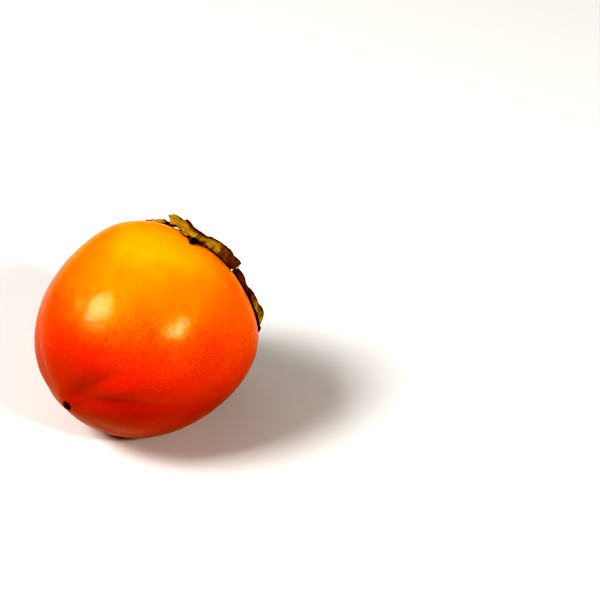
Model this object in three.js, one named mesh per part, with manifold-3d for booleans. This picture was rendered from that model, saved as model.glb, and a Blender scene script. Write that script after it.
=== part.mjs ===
// A ripe kaki persimmon lying on its side. Its pieces are the fruit itself, the woody disc and the
// four dry sepals of its calyx, the cut stalk and the withered style at the blossom end.
//
// Millimetres, +Z up. The fruit rests on a small flat spot in the plane z = 0, with its stem end
// towards +X, and the origin is under the middle of the whole object.
//
// The fruit has a frame of its own, in which everything is shaped: its axis is z, from the
// blossom end to the stem end, "polar" is the angle from the blossom end, and "round" is the
// angle about the axis, counted from the side that faces the table.
import * as THREE from "three";
import { mergeVertices } from "three/addons/utils/BufferGeometryUtils.js";
import Module from "manifold-3d";

const wasm = await Module();
wasm.setup();

const DEG = Math.PI / 180;
const { smoothstep } = THREE.MathUtils;

// Fruit
const RADIUS = 40; // mean radius at the widest ring
const HALF_LENGTH = 39.6; // centre to either end, before the stem cavity
const WIDEST_AT = 8; // how far the widest ring lies from the centre, towards the stem
const FULLNESS = 0.18; // how far the sides swell past a plain oval
const SQUAT = 0.0325; // share by which it is flatter upright than across
const SQUARENESS = 0.005; // share by which the four faint corners stand out
const CAVITY_DEPTH = 7.5;
const CAVITY_RADIUS = 13;
const NIPPLE_HEIGHT = 1;
const NIPPLE_RADIUS = 7;
const FRUIT_RINGS = 36;
const FRUIT_SEGMENTS = 64;

// Shallow furrows that run from the blossom end, one over each wall between two seed chambers
const FURROW_WIDTH = 3.8;
const FURROWS = [
  { at: 216, twist: 22, depth: 2.0, peak: 19 },
  { at: 235, twist: 38, depth: 1.6, peak: 27 },
  { at: 300, twist: 10, depth: 0.5, peak: 27 },
  { at: 344, twist: -6, depth: 0.4, peak: 27 },
  { at: 32, twist: 8, depth: 0.5, peak: 27 },
  { at: 80, twist: -5, depth: 0.35, peak: 27 },
  { at: 127, twist: 6, depth: 0.4, peak: 27 },
  { at: 172, twist: 4, depth: 0.35, peak: 27 },
];

// How it lies
const STEM_RISE = 15 * DEG; // the stem end points this far above level
const FLAT_SPOT_DEPTH = 0.75; // how much of the round underside is pressed flat

// Calyx and stalk. Angles from the stem are polar angles counted back from the stem end.
const GAP = 0.35; // between neighbouring pieces
const DISC_EDGE = 16.6 * DEG;
const DISC_THICKNESS = 2.4;
const DISC_RIM = 1.1; // its thickness at the edge
const DISC_SEAT = 0.3; // share of the disc that is level under the stalk
const RIDGE_HEIGHT = 0.7;
const RIDGE_RADIUS = 8.5;
const RIDGE_WIDTH = 2.2;
const SEPAL_BASE = 17.6 * DEG;
const SEPAL_LIFT = 0.2; // of its foot
const SEPAL_THICKNESS = 0.8;
const SEPAL_BLUNT = 0.12; // share by which its outer corners are rounded back
const SEPAL_FOLD = 0.26; // share of its length over which it folds
const SEPAL_NARROWING = 1.5; // how late along its length it narrows
const SEPAL_TIP_LENGTH = 4.4; // the short point in its outer edge
const SEPAL_TIP_WIDTH = 0.08; // share of half its width
const SEPAL_STEPS = 20; // along its length
const SEPAL_COLUMNS = 28; // from side to side

// Each sepal has seven values from one side to the other: how long it is, the angle it stands at
// where it leaves the disc, the angle it sags to before its fold, the angle its outer part hangs
// at, and how far out it folds over.
const SEPALS = [
  {
    at: 195.5,
    half: 43.5,
    narrows: 7,
    reach: [20, 21.5, 23.5, 25.5, 22.5, 21.5, 24],
    stands: [28, 28, 24, 18, 26, 30, 34],
    sags: [2, -2, -16, -30, -12, -4, 8],
    hangs: [-60, -80, -86, -86, -84, -78, -66],
    folds: [0.84, 0.71, 0.74, 0.77, 0.73, 0.71, 0.6],
    tipAt: 0.15,
  },
  {
    at: 284.5,
    half: 43.5,
    narrows: -6,
    reach: [18, 20, 22.5, 23, 21.5, 19.5, 17],
    stands: [28, 20, 20, 22, 12, 8, 8],
    sags: [-4, -16, -16, -14, -22, -26, -26],
    hangs: [-66, -66, -70, -72, -70, -66, -60],
    folds: [0.76, 0.74, 0.73, 0.74, 0.72, 0.73, 0.8],
    tipAt: 0.55,
  },
  {
    at: 17.5,
    half: 43.5,
    narrows: 5,
    reach: [16, 20, 22, 23, 22, 20, 16],
    stands: [26, 22, 24, 18, 22, 20, 28],
    sags: [0, -8, -16, -24, -14, -8, 4],
    hangs: [-40, -70, -76, -80, -74, -66, -40],
    folds: [0.8, 0.75, 0.72, 0.74, 0.72, 0.75, 0.8],
    tipAt: 0.1,
  },
  {
    at: 106,
    half: 42.5,
    narrows: -3,
    reach: [15, 19, 22, 22.5, 22, 20.5, 19],
    stands: [30, 20, 18, 22, 16, 18, 24],
    sags: [6, -8, -20, -16, -19, -12, -4],
    hangs: [-30, -66, -80, -76, -72, -70, -66],
    folds: [0.84, 0.75, 0.72, 0.76, 0.72, 0.75, 0.78],
    tipAt: -0.15,
  },
];
const STALK_RADIUS = 2.5;
const STALK_FOOT_RADIUS = 3.4;
const STALK_LENGTH = 5.5;
const STALK_LEAN = 0.6; // how far its cut end leans aside
const STYLE_RADIUS = 1.5;
const STYLE_LENGTH = 1.4;
const STYLE_CLEFT = 0.14; // share of its radius

// A closed surface of rings between two poles. pointAt(along, share) gives a point for along,
// from 0 at one pole to 1 at the other, and share, from 0 to 1 round a ring.
function closedSurface(rings, segments, pointAt) {
  const points = [pointAt(0, 0)];
  for (let i = 1; i < rings; i++)
    for (let j = 0; j < segments; j++)
      points.push(pointAt(i / rings, j / segments));
  points.push(pointAt(1, 0));

  const last = points.length - 1;
  const at = (ring, j) => 1 + (ring - 1) * segments + (j % segments);
  const faces = [];
  for (let j = 0; j < segments; j++) {
    faces.push(0, at(1, j + 1), at(1, j));
    faces.push(last, at(rings - 1, j), at(rings - 1, j + 1));
  }
  for (let i = 1; i < rings - 1; i++)
    for (let j = 0; j < segments; j++) {
      faces.push(at(i, j), at(i, j + 1), at(i + 1, j + 1));
      faces.push(at(i, j), at(i + 1, j + 1), at(i + 1, j));
    }
  const geometry = new THREE.BufferGeometry().setFromPoints(points);
  geometry.setIndex(faces);
  geometry.computeVertexNormals();
  return geometry;
}

// The angle from a to b, between -180 and 180 degrees
function turn(a, b) {
  return Math.atan2(Math.sin(b - a), Math.cos(b - a));
}

function furrowDepth(polar, round) {
  let depth = 0;
  for (const furrow of FURROWS) {
    const angle = furrow.at * DEG + furrow.twist * DEG * polar;
    const aside = turn(angle, round) * RADIUS * Math.sin(polar);
    const along = polar / (furrow.peak * DEG);
    const fade = Math.pow(along * Math.exp(1 - along), 3);
    depth += furrow.depth * fade * Math.exp(-((aside / FURROW_WIDTH) ** 2));
  }
  return depth;
}

// A point on the fruit's skin
function skinPoint(polar, round) {
  const sin = Math.sin(polar);
  const cos = Math.cos(polar);
  const mean = RADIUS * sin * (1 + FULLNESS * cos * cos);
  const section =
    1 - SQUAT * Math.cos(2 * round) - SQUARENESS * sin * sin * Math.cos(4 * round);
  const cavity = cos < 0 ? CAVITY_DEPTH * Math.exp(-((mean / CAVITY_RADIUS) ** 2)) : 0;
  const nipple = cos > 0 ? NIPPLE_HEIGHT * Math.exp(-((mean / NIPPLE_RADIUS) ** 2)) : 0;
  const furrow = cos > 0 ? furrowDepth(polar, round) : 0;
  const radius = mean * section - furrow * sin;
  const height = WIDEST_AT * sin * sin - HALF_LENGTH * cos - cavity - nipple + furrow * cos;
  return new THREE.Vector3(radius * Math.cos(round), radius * Math.sin(round), height);
}

// A point above the skin at an angle from the stem end
function aboveSkin(fromStem, round, lift) {
  const point = skinPoint(Math.PI - fromStem, round);
  point.z += lift;
  return point;
}

function fruitGeometry() {
  return closedSurface(FRUIT_RINGS, FRUIT_SEGMENTS, (along, share) =>
    skinPoint(along * Math.PI, share * 2 * Math.PI),
  );
}

// The top of the disc, level in the middle and with a low ridge in line with each sepal
function discTop(out, round) {
  const point = aboveSkin(out * DISC_EDGE, round, 0);
  const slope = Math.max(out, DISC_SEAT);
  const fromAxis = Math.hypot(point.x, point.y);
  const ridge =
    RIDGE_HEIGHT *
    Math.exp(-(((fromAxis - RIDGE_RADIUS) / RIDGE_WIDTH) ** 2)) *
    (0.5 + 0.5 * Math.cos(4 * (round - SEPALS[0].at * DEG)));
  const thickness = DISC_RIM + (DISC_THICKNESS - DISC_RIM) * Math.sqrt(1 - slope * slope);
  point.z = aboveSkin(slope * DISC_EDGE, round, GAP + thickness + ridge).z;
  return point;
}

// The disc's underside follows the floor of the cavity.
function discGeometry() {
  return closedSurface(14, 40, (along, share) => {
    const round = share * 2 * Math.PI;
    if (along < 0.5) return aboveSkin(2 * along * DISC_EDGE, round, GAP);
    return discTop(2 * (1 - along), round);
  });
}

// A smooth curve through values that stand at even steps across, from -1 to 1
function spread(values, across) {
  const spot = ((across + 1) / 2) * (values.length - 1);
  const cell = Math.min(Math.floor(spot), values.length - 2);
  const f = spot - cell;
  const b = values[cell];
  const c = values[cell + 1];
  const a = cell > 0 ? values[cell - 1] : 2 * b - c;
  const d = cell < values.length - 2 ? values[cell + 2] : 2 * c - b;
  const bend = 2 * a - 5 * b + 4 * c - d + f * (3 * b - a - 3 * c + d);
  return b + (f / 2) * (c - a + f * bend);
}

// Height of the skin at a distance from the axis, on the stem half
function shoulderHeight(radius, round) {
  let nearEquator = Math.PI / 2;
  let nearStem = Math.PI;
  for (let i = 0; i < 30; i++) {
    const polar = (nearEquator + nearStem) / 2;
    const point = skinPoint(polar, round);
    if (Math.hypot(point.x, point.y) > radius) nearEquator = polar;
    else nearStem = polar;
  }
  return skinPoint(nearStem, round).z;
}

// The middle of one strip of a sepal, from the disc outwards. It stands up, sags, folds over and
// then slides along the skin.
function sepalStrip(sepal, across) {
  const tip = Math.exp(-(((across - sepal.tipAt) / SEPAL_TIP_WIDTH) ** 2));
  const blade = spread(sepal.reach, across) * (1 - SEPAL_BLUNT * Math.abs(across) ** 6);
  const long = blade + SEPAL_TIP_LENGTH * tip;
  const step = long / SEPAL_STEPS;
  const stand = spread(sepal.stands, across) * DEG;
  const sag = spread(sepal.sags, across) * DEG;
  const hang = spread(sepal.hangs, across) * DEG;
  const fold = spread(sepal.folds, across);
  const clear = GAP + SEPAL_THICKNESS / 2;

  const foot = aboveSkin(SEPAL_BASE, (sepal.at + across * sepal.half) * DEG, 0);
  let radius = Math.hypot(foot.x, foot.y);
  let height = foot.z + clear + SEPAL_LIFT;
  const strip = [];
  for (let i = 0; i <= SEPAL_STEPS; i++) {
    const out = i / SEPAL_STEPS;
    const turned = across * (sepal.half - sepal.narrows * out ** SEPAL_NARROWING);
    const round = (sepal.at + turned) * DEG;
    if (i > 0) {
      const share = (out * long) / blade;
      const sagging = stand + (sag - stand) * Math.min(share / fold, 1);
      const folded = smoothstep((share - fold) / SEPAL_FOLD, -0.5, 0.5);
      const lean = sagging + (hang - sagging) * folded;
      const drop = shoulderHeight(radius + step, round) - shoulderHeight(radius, round);
      const slope = Math.hypot(step, drop) / step;
      const lifted = height + step * Math.sin(lean);
      const free = radius + step * Math.cos(lean);
      const sinks = lifted < shoulderHeight(free, round) + clear * slope;
      radius = sinks ? radius + step / slope : free;
      height = sinks ? shoulderHeight(radius, round) + clear * slope : lifted;
    }
    strip.push({ radius, height, round });
  }
  return strip;
}

// A point on the top of a strip, or on its underside
function stripPoint(strip, i, onTop) {
  const before = strip[Math.max(i - 1, 0)];
  const after = strip[Math.min(i + 1, SEPAL_STEPS)];
  const along = new THREE.Vector2(after.radius - before.radius, after.height - before.height);
  along.setLength((onTop ? 1 : -1) * SEPAL_THICKNESS / 2);
  const radius = strip[i].radius - along.y;
  const { round } = strip[i];
  return new THREE.Vector3(
    radius * Math.cos(round),
    radius * Math.sin(round),
    strip[i].height + along.x,
  );
}

// A sepal is a loop over its top and back along its underside, swept from side to side.
function sepalGeometry(sepal) {
  const loopLength = 2 * (SEPAL_STEPS + 1);
  return closedSurface(SEPAL_COLUMNS, loopLength, (side, loop) => {
    const strip = sepalStrip(sepal, -Math.cos(side * Math.PI));
    if (side === 0 || side === 1) {
      const { radius, height, round } = strip[SEPAL_STEPS / 2];
      return new THREE.Vector3(radius * Math.cos(round), radius * Math.sin(round), height);
    }
    const i = Math.round(loop * loopLength);
    const onTop = i <= SEPAL_STEPS;
    return stripPoint(strip, onTop ? i : loopLength - 1 - i, onTop);
  });
}

// A short woody stub with a flared foot and a flat, slightly leaning cut end
function stalkGeometry() {
  const outline = [
    [0, 0],
    [STALK_FOOT_RADIUS, 0],
    [STALK_FOOT_RADIUS * 0.94, 0.5],
    [STALK_RADIUS * 1.05, 1.8],
    [STALK_RADIUS * 0.96, 3.4],
    [STALK_RADIUS * 1.08, STALK_LENGTH - 0.4],
    [STALK_RADIUS, STALK_LENGTH],
    [0, STALK_LENGTH],
  ];
  const geometry = new THREE.LatheGeometry(
    outline.map(([radius, height]) => new THREE.Vector2(radius, height)),
    24,
  );
  geometry.rotateX(Math.PI / 2);
  const position = geometry.getAttribute("position");
  for (let i = 0; i < position.count; i++) {
    const share = position.getZ(i) / STALK_LENGTH;
    position.setX(i, position.getX(i) + STALK_LEAN * share * share);
  }
  return geometry;
}

// The dried style: a stubby point with four clefts
function styleGeometry() {
  return closedSurface(8, 16, (along, share) => {
    const round = share * 2 * Math.PI;
    const cleft = 1 - STYLE_CLEFT * Math.cos(4 * round);
    const radius = STYLE_RADIUS * Math.sin(Math.PI * along ** 1.4) * cleft;
    const height = (along - 1) * STYLE_LENGTH;
    return new THREE.Vector3(radius * Math.cos(round), radius * Math.sin(round), height);
  });
}

function solidOf(geometry) {
  const bare = geometry.clone();
  for (const name of Object.keys(bare.attributes))
    if (name !== "position") bare.deleteAttribute(name);
  const merged = mergeVertices(bare, 1e-4);
  return new wasm.Manifold(
    new wasm.Mesh({
      numProp: 3,
      vertProperties: new Float32Array(merged.getAttribute("position").array),
      triVerts: new Uint32Array(merged.index.array),
    }),
  );
}

function geometryOf(solid) {
  const mesh = solid.getMesh();
  const geometry = new THREE.BufferGeometry();
  geometry.setAttribute("position", new THREE.BufferAttribute(mesh.vertProperties, 3));
  geometry.setIndex(new THREE.BufferAttribute(mesh.triVerts, 1));
  geometry.computeVertexNormals();
  return geometry;
}

// Presses the underside flat: everything under the table's plane is cut away.
function pressedFlat(geometry, pose) {
  const size = 6 * RADIUS;
  const table = new THREE.BoxGeometry(size, size, size);
  table.translate(0, 0, -size / 2);
  table.applyMatrix4(pose.clone().invert());
  return geometryOf(solidOf(geometry).subtract(solidOf(table)));
}

function material(colour, roughness) {
  return new THREE.MeshStandardMaterial({ color: colour, roughness, metalness: 0 });
}

const skin = material(0xf06a12, 0.32);
const leaf = material(0x857436, 0.85);
const wood = material(0x6e5230, 0.9);
const char = material(0x1d120c, 0.8);

function piece(name, geometry, finish) {
  const mesh = new THREE.Mesh(geometry, finish);
  mesh.name = name;
  return mesh;
}

// Everything in the fruit's frame goes into one group, which is then laid on its side.
const lying = new THREE.Group();
lying.rotation.y = Math.PI / 2 - STEM_RISE;
lying.updateMatrix();
const whole = fruitGeometry();
const lowest = new THREE.Box3().setFromBufferAttribute(
  whole.clone().applyMatrix4(lying.matrix).getAttribute("position"),
).min.z;
lying.position.z = -lowest - FLAT_SPOT_DEPTH;
lying.updateMatrix();

lying.add(piece("fruit", pressedFlat(whole, lying.matrix), skin));
lying.add(piece("calyx_disc", discGeometry(), wood));
SEPALS.forEach((sepal, i) => {
  lying.add(piece(`sepal_${i + 1}`, sepalGeometry(sepal), leaf));
});

const stalk = piece("stalk_stub", stalkGeometry(), wood);
stalk.position.z = discTop(0, 0).z + GAP;
lying.add(stalk);

const style = piece("style_remnant", styleGeometry(), char);
style.position.copy(skinPoint(0, 0));
style.position.z -= GAP;
lying.add(style);

const persimmon = new THREE.Group();
persimmon.add(lying);
persimmon.updateMatrixWorld(true);
const middle = new THREE.Box3().setFromObject(persimmon, true).getCenter(new THREE.Vector3());
lying.position.x -= middle.x;
lying.position.y -= middle.y;

export default persimmon;
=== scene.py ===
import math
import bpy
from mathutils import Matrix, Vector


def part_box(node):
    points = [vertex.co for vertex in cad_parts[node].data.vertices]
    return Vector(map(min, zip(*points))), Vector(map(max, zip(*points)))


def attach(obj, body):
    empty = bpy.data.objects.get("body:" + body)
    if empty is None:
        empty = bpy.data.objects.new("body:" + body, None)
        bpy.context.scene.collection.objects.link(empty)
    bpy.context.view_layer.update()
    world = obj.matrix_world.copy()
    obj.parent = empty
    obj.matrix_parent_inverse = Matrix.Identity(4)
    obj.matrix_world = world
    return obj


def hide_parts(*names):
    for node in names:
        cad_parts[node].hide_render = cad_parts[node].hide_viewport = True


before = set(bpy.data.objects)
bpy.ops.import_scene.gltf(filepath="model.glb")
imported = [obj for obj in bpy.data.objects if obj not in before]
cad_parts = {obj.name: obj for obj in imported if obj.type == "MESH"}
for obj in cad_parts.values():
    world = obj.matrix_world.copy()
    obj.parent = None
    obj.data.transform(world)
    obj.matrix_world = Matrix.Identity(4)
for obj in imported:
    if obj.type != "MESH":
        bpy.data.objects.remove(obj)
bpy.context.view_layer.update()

# A ripe kaki persimmon lying on its side: the fruit, the woody disc and four dry sepals of its
# calyx, the cut stalk and the withered style. Every piece is shaped in the fruit's own frame,
# whose axis runs from the blossom end to the stem end, and is then laid on the table.
from types import SimpleNamespace

import bpy
import numpy as np
from bpy.props import FloatProperty, FloatVectorProperty, IntProperty, PointerProperty
from bpy.types import Operator, Panel, PropertyGroup
from mathutils import Matrix, Vector, noise

bl_info = {
    "name": "Kaki Persimmon",
    "version": (1, 0, 0),
    "blender": (4, 5, 0),
    "location": "View3D > Sidebar > Persimmon",
    "description": "Builds a ripe kaki persimmon with its dry calyx",
    "category": "Object",
}

MM = 0.001
DEG = math.pi / 180
FRUIT_LOW, FRUIT_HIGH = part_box("fruit")

# ---- settings

SQUAT = 0.0325  # share by which the fruit is flatter upright than across
SQUARENESS = 0.005  # share by which its four faint corners stand out
HALF_WIDTH = (FRUIT_HIGH.y - FRUIT_LOW.y) / 2
MEAN_RADIUS = HALF_WIDTH / (1 + SQUAT) / (1 - SQUARENESS)


def length(name, description, default):
    return FloatProperty(
        name=name, description=description, default=default, unit="LENGTH", subtype="DISTANCE"
    )


def angle(name, description, degrees):
    radians = degrees * DEG
    return FloatProperty(
        name=name, description=description, default=radians, unit="ROTATION", subtype="ANGLE"
    )


def share(name, description, default):
    return FloatProperty(
        name=name, description=description, default=default, subtype="FACTOR", min=0, max=1
    )


def colour(name, description, *default):
    return FloatVectorProperty(
        name=name, description=description, default=default, subtype="COLOR", min=0, max=1
    )


class FruitSettings(PropertyGroup):
    """The size of the fruit and the colours of its skin."""

    radius: length("Radius", "Mean radius at the widest ring", MEAN_RADIUS)
    half_length: length("Half length", "Centre to either end", 39.6 * MM)
    widest_at: length("Widest at", "How far the widest ring lies towards the stem", 8 * MM)
    cavity_depth: length("Cavity depth", "Depth of the hollow at the stem", 7.5 * MM)
    cavity_radius: length("Cavity radius", "Width of the hollow at the stem", 13 * MM)
    point_height: length("Point height", "How far the blossom end is drawn out", 1 * MM)
    stem_rise: angle("Stem rise", "How far above level the stem end points", 15)
    # Painted light: the crown and shoulder colours are reached on the top as the fruit lies, so
    # their gold is partly the skin's own and partly painted light from above.
    crown: colour("Crown", "Skin next to the calyx", 0.90, 0.33, 0.007)
    shoulder: colour("Shoulder", "Skin on the sunny shoulder", 0.90, 0.245, 0.006)
    flank: colour("Flank", "Skin on the flanks", 0.84, 0.185, 0.006)
    # Painted shade: the blush and apex colours are reached on the underside as the fruit lies, so
    # their deep red is partly the skin's own and partly painted shade.
    blush_and_shade: colour("Blush", "Skin where it is ripest", 0.58, 0.062, 0.006)
    apex: colour("Apex", "Skin round the blossom end", 0.33, 0.033, 0.005)
    pore: colour("Pore", "Fine mottling of the red skin", 0.54, 0.018, 0.002)
    freckle: colour("Freckle", "Small dark dots", 0.34, 0.012, 0.002)
    scar: colour("Scar", "Corky marks under the calyx", 0.16, 0.06, 0.015)
    roughness: share("Roughness", "Roughness of the waxy skin", 0.30)
    rings: IntProperty(name="Rings", description="Rings from end to end", default=230)
    segments: IntProperty(name="Segments", description="Segments in a ring", default=330)


class CalyxSettings(PropertyGroup):
    """The dry calyx."""

    thickness: length("Sepal thickness", "Thickness of a dry sepal", 0.55 * MM)
    disc_thickness: length("Disc thickness", "Thickness of the disc in its middle", 2.4 * MM)
    veins: IntProperty(name="Veins", description="Fine side veins of a sepal", default=40)
    blade: colour("Blade", "Lit face of a sepal", 0.36, 0.22, 0.030)
    blade_pale: colour("Pale blade", "Palest patches of a sepal", 0.54, 0.36, 0.06)
    blade_brown: colour("Brown blade", "Browned patches of a sepal", 0.12, 0.038, 0.009)
    vein: colour("Vein", "Veins and creases", 0.075, 0.028, 0.007)
    fold: colour("Fold", "Reddish brown along the fold", 0.09, 0.025, 0.010)
    margin: colour("Margin", "Dark dry margin", 0.035, 0.013, 0.005)
    char: colour("Shrivelled", "Black shrivelled tips", 0.008, 0.004, 0.003)
    # Painted shade: the colour of the face on the fruit is near black, partly the sepal's dry
    # brown and partly painted shade under the sepals.
    shaded_underside: colour("Underside", "Face that lies on the fruit", 0.06, 0.022, 0.009)
    wood: colour("Disc", "Woody disc", 0.24, 0.13, 0.045)
    wood_dark: colour("Disc furrows", "Furrows in the disc", 0.07, 0.03, 0.011)


class StalkSettings(PropertyGroup):
    """The cut stalk and the withered style."""

    radius: length("Stalk radius", "Radius of the stalk", 2.5 * MM)
    foot_radius: length("Foot radius", "Radius of its flared foot", 3.4 * MM)
    lean: length("Lean", "How far the cut end leans aside", 0.6 * MM)
    bark: colour("Bark", "Bark of the stalk", 0.13, 0.07, 0.03)
    cut: colour("Cut", "Dry wood of the cut end", 0.40, 0.27, 0.13)
    pith: colour("Pith", "Pith in the cut end", 0.09, 0.045, 0.018)
    style: colour("Style", "Withered style", 0.010, 0.005, 0.003)


class StageSettings(PropertyGroup):
    """The floor, the lights and the camera."""

    floor: colour("Floor", "Plain pale floor", 0.68, 0.67, 0.65)
    floor_size: length("Floor size", "Side of the floor", 24.0)
    camera_azimuth: angle("Camera azimuth", "Direction the camera looks from", -49.5)
    camera_height: angle("Camera height", "How far the camera looks down", 35)
    camera_distance: length("Camera distance", "Camera to the middle of the fruit", 650 * MM)
    aside: length("Aside", "How far the view's middle lies right of the fruit", 61.35 * MM)
    above: length("Above", "How far the view's middle lies above the fruit", 13.76 * MM)
    lens: FloatProperty(name="Lens", description="Focal length in mm", default=102.0)


# ---- the fruit's shape

FULLNESS = 0.18  # how far the sides swell past a plain oval
CROWDING = 0.1  # how much closer together the rings are near the ends
POINT_RADIUS = 7 * MM
GAP = 0.35 * MM  # between neighbouring pieces, as in the frame
FURROW_WIDTH = 3.8 * MM

# Shallow furrows from the blossom end: the angle in degrees where each starts, how it turns as it
# runs outwards, its depth and that of the fine crease in its floor in millimetres, and the polar
# angle in degrees where it is deepest.
FURROWS = (
    (216, 22, 2.0, 0.10, 19),
    (235, 38, 1.6, 0.50, 27),
    (300, 10, 0.5, 0.05, 27),
    (344, -6, 0.4, 0.0, 27),
    (32, 8, 0.5, 0.05, 27),
    (80, -5, 0.35, 0.0, 27),
    (127, 6, 0.4, 0.05, 27),
    (172, 4, 0.35, 0.0, 27),
)
CREASE_WIDTH = 1.3 * MM
SHOULDER = 0.75 * math.pi  # polar angle of the part of the shoulder that the sepals lie on
SHOULDER_STEPS = 600


def bell(offset, width):
    """1 where the offset is 0, falling away smoothly on both sides."""
    return np.exp(-((offset / width) ** 2))


def round_axis(radius, around, height):
    """Points from their distance from the axis, their angle round it and their height."""
    return np.stack([radius * np.cos(around), radius * np.sin(around), height], -1)


def off_axis(points):
    """How far points are from the axis."""
    return np.hypot(points[..., 0], points[..., 1])


def turned(profile, segments):
    """A profile's values and the angles round the axis, for every point of a grid."""
    around = np.linspace(0, 2 * math.pi, segments, endpoint=False)
    return np.meshgrid(profile, around, indexing="ij")


def polar_grid(rings, segments):
    """Polar and round angles of a closed surface, with rings closer together near its ends."""
    along = np.linspace(0, 1, rings + 1)
    return turned(math.pi * (along - CROWDING * np.sin(2 * math.pi * along)), segments)


def mean_radius(fruit, polar):
    """How far the skin is from the axis, taken all round."""
    return fruit.radius * np.sin(polar) * (1 + FULLNESS * np.cos(polar) ** 2)


def section(polar, around):
    """How the cross-section departs from a circle."""
    corners = SQUARENESS * np.sin(polar) ** 2 * np.cos(4 * around)
    return 1 - SQUAT * np.cos(2 * around) - corners


def furrow_depth(fruit, polar, around):
    """How deep the furrows are at a place on the blossom half."""
    depth = np.zeros_like(polar)
    for start, twist, deep, crease, peak in FURROWS:
        middle = start * DEG + twist * DEG * polar
        turn = np.angle(np.exp(1j * (around - middle)))
        aside = turn * fruit.radius * np.sin(polar)
        along = polar / (peak * DEG)
        fade = (along * np.exp(1 - along)) ** 3
        valley = deep * bell(aside, FURROW_WIDTH) + crease * bell(aside, CREASE_WIDTH)
        depth += valley * MM * fade
    return depth * (np.cos(polar) > 0)


def skin(fruit, polar, around):
    """Points on the fruit's skin, in its own frame."""
    mean = mean_radius(fruit, polar)
    stem_half = np.cos(polar) < 0
    cavity = fruit.cavity_depth * bell(mean, fruit.cavity_radius) * stem_half
    point = fruit.point_height * bell(mean, POINT_RADIUS) * ~stem_half
    furrow = furrow_depth(fruit, polar, around)
    radius = mean * section(polar, around) - furrow * np.sin(polar)
    height = fruit.widest_at * np.sin(polar) ** 2 - fruit.half_length * np.cos(polar)
    height += furrow * np.cos(polar) - cavity - point
    return round_axis(radius, around, height)


def above_skin(fruit, from_stem, around, lift):
    """Points above the skin at an angle from the stem end."""
    points = skin(fruit, math.pi - from_stem, around)
    points[..., 2] += lift
    return points


def shoulder_height(fruit, radius, around):
    """Height of the skin at a distance from the axis, on the stem half."""
    polar = np.linspace(math.pi, math.pi / 2, SHOULDER_STEPS)
    reach = mean_radius(fruit, polar)
    heights = skin(fruit, polar, np.zeros_like(polar))[:, 2]
    return np.interp(radius / section(SHOULDER, around), reach, heights)


def lying(fruit):
    """The move from the fruit's frame to where the frame's fruit lies."""
    tilt = Matrix.Rotation(math.pi / 2 - fruit.stem_rise, 4, "Y")
    polar, around = polar_grid(120, 120)
    turn = np.array(tilt.to_3x3())
    placed = skin(fruit, polar, around) @ turn.T
    low = placed.reshape(-1, 3).min(0)
    high = placed.reshape(-1, 3).max(0)
    move = Vector((FRUIT_LOW.x - low[0], FRUIT_HIGH.y - high[1], FRUIT_HIGH.z - high[2]))
    return Matrix.Translation(move) @ tilt


def streaks(around, fineness, along):
    """Coordinates that draw plain noise out into streaks, fine round the axis and long on it."""
    return round_axis(fineness, around, along)


def rough(points, spacing, octaves=3):
    """Smooth noise from about -1 to 1 at each point, with features of about that spacing."""
    flat = points.reshape(-1, 3) / spacing
    values = [noise.fractal(Vector(p), 1.0, 2.0, octaves) for p in flat]
    return np.array(values).reshape(points.shape[:-1])


def normals_of(points, wraps):
    """Unit normals of a grid of points, whose second index may wrap round."""
    down = np.gradient(points, axis=0)
    if wraps:
        side = np.roll(points, -1, 1) - np.roll(points, 1, 1)
    else:
        side = np.gradient(points, axis=1)
    normal = np.cross(down, side)
    size = np.linalg.norm(normal, axis=-1, keepdims=True)
    return normal / np.maximum(size, 1e-12)


# ---- making meshes


def in_one_row(grid):
    """A grid's numbers or vectors, one after the other."""
    return grid.reshape((-1,) + grid.shape[2:])


def closed_surface(name, grid, fields):
    """A mesh from a grid of points whose first and last rows each meet in one pole.

    Fields are numbers or vectors at each point, which are kept as attributes.
    """
    rings, segments = grid.shape[:2]
    inner = in_one_row(grid[1:-1])
    points = np.vstack([grid[0, 0], inner, grid[-1, 0]])
    last = len(points) - 1
    index = 1 + np.arange(len(inner)).reshape(rings - 2, segments)
    beside = np.roll(index, -1, 1)
    quads = np.stack([index[:-1], beside[:-1], beside[1:], index[1:]], -1).reshape(-1, 4)
    start = np.stack([np.zeros(segments, int), beside[0], index[0]], -1)
    end = np.stack([np.full(segments, last), index[-1], beside[-1]], -1)
    mesh = bpy.data.meshes.new(name)
    mesh.from_pydata(points.tolist(), [], start.tolist() + quads.tolist() + end.tolist())
    for field, values in fields.items():
        kept = [values[:1, 0], in_one_row(values[1:-1]), values[-1:, 0]]
        add_field(mesh, field, np.concatenate(kept))
    return mesh


def add_field(mesh, field, values):
    """Keeps a number or a vector at each point of a mesh."""
    kind, part = ("FLOAT_VECTOR", "vector") if values.ndim == 2 else ("FLOAT", "value")
    mesh.attributes.new(field, kind, "POINT")
    mesh.attributes[field].data.foreach_set(part, values.astype(np.float32).ravel())


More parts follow.
